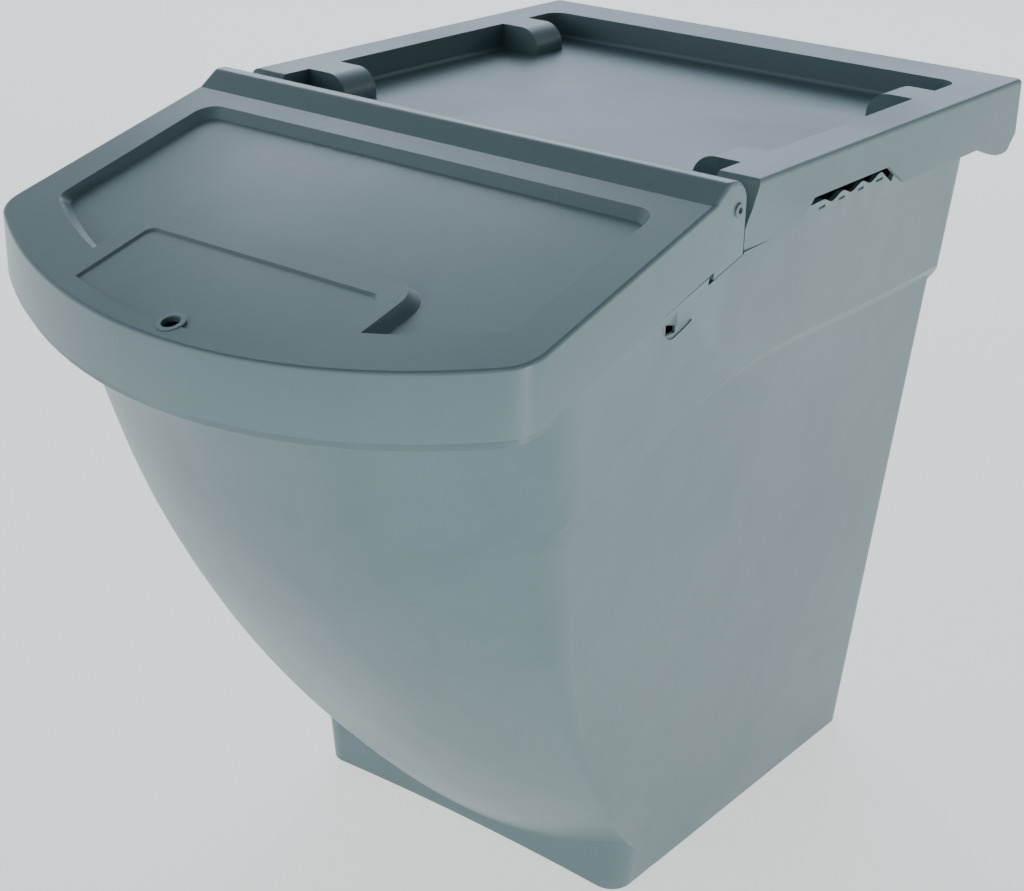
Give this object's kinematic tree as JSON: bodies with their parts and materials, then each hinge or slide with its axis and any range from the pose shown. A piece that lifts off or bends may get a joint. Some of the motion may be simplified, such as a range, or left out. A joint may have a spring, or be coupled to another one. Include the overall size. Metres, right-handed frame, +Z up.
{
  "type": "storage bin",
  "caption": "Tall flared storage bin with a bowed hopper front, a sloping hinged front lid and a stacking deck with hand grips.",
  "frame": {"origin": "centre of the base, on the floor", "axes": "+Z up, the hopper front and lid face -Y, X across the width"},
  "size_m": [0.409, 0.6121, 0.5152],
  "materials": {
    "body_plastic": "moulded, fine matt grain",
    "cover_plastic": "moulded, satin on top",
    "lid_plastic": "moulded, satin on top",
    "pin_plastic": "moulded, smooth"
  },
  "bodies": {
    "tub": {"body_shell": "body_plastic", "rear_cover": "cover_plastic", "hinge_pin_right": "pin_plastic", "hinge_pin_left": "pin_plastic"},
    "lid": {"front_lid": "lid_plastic"}
  },
  "joints": [
    {"name": "lid_hinge", "type": "hinge", "parent": "tub", "child": "lid", "pos_m": [0, -0.1643, 0.4981], "axis": [-1, 0, 0], "range_deg": [0, 108]}
  ]
}
